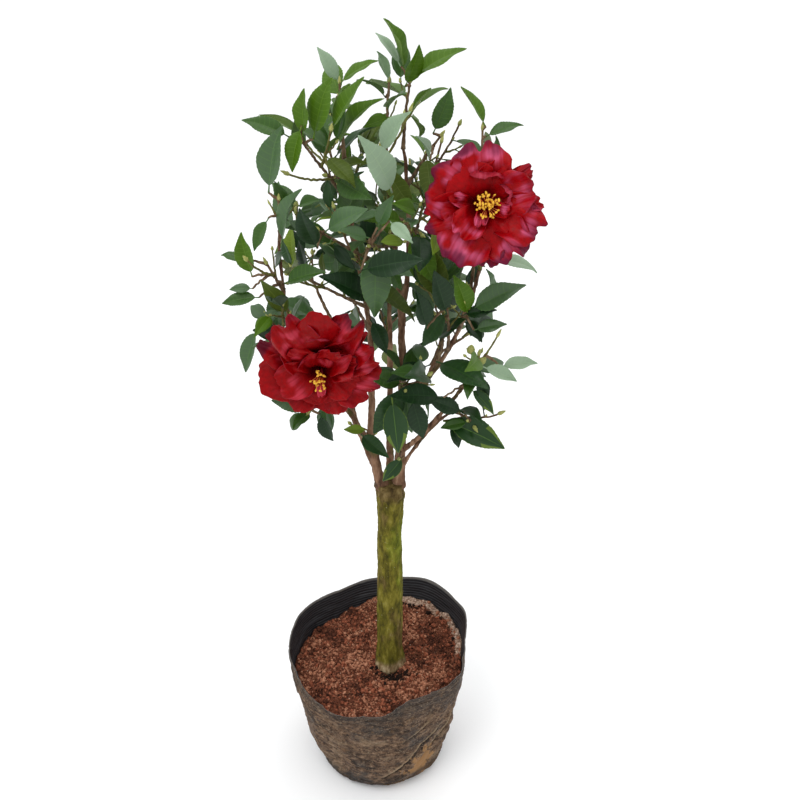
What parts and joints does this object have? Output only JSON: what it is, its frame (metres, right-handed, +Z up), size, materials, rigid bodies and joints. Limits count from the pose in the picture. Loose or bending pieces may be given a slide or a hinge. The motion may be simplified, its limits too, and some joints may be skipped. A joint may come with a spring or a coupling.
{
  "type": "potted camellia shrub",
  "caption": "Camellia shrub on one clean trunk with an open crown and large red blooms, potted in a soft grow bag.",
  "frame": {"origin": "middle of the flat underside of the grow bag", "axes": "+Z up along the trunk, -Y towards the front that the picture shows, +X to the right in it"},
  "size_m": [0.3, 0.3225, 0.899],
  "materials": {
    "bag_film": "dusty black film",
    "soil": "loose coir and bark compost",
    "bark": "bark with green algae",
    "bough_bark": "smooth brown bark",
    "foliage": "glossy evergreen leaves",
    "petal": "velvety red petals"
  },
  "bodies": {
    "root": {"grow_bag": "bag_film", "potting_soil": "soil", "trunk": "bark", "bough_left": "bough_bark", "bough_centre": "bough_bark", "bough_back": "bough_bark", "bough_back_left": "bough_bark", "bough_back_right": "bough_bark", "bough_left_inner": "bough_bark", "bough_left_bloom": "bough_bark", "bough_upper_left": "bough_bark", "bough_left_up": "bough_bark", "bough_leader": "bough_bark", "bough_top": "bough_bark", "bough_right_bloom": "bough_bark", "bough_right_low": "bough_bark", "bough_right_thin": "bough_bark", "bloom_right": "petal", "bloom_left": "petal", "foliage_top": "foliage", "foliage_top_left": "foliage", "foliage_top_middle": "foliage", "foliage_upper_left": "foliage", "foliage_above_right_bloom": "foliage", "foliage_upper_right": "foliage", "foliage_upper_front": "foliage", "foliage_upper_inner": "foliage", "foliage_left": "foliage", "foliage_left_front": "foliage", "foliage_far_left": "foliage", "foliage_left_low": "foliage", "foliage_middle_front": "foliage", "foliage_middle_right": "foliage", "foliage_middle_left": "foliage", "foliage_right_inner": "foliage", "foliage_right": "foliage", "foliage_right_low": "foliage", "foliage_right_skirt": "foliage", "foliage_front_low": "foliage", "foliage_foot": "foliage", "foliage_left_foot": "foliage", "foliage_left_skirt": "foliage", "foliage_right_middle": "foliage", "foliage_left_middle": "foliage", "foliage_back_upper_left": "foliage", "foliage_back_upper_right": "foliage", "foliage_back_left": "foliage", "foliage_back_middle": "foliage", "foliage_back_right": "foliage", "foliage_back_low_left": "foliage", "foliage_back_low_right": "foliage", "foliage_back_low": "foliage"}
  },
  "joints": []
}
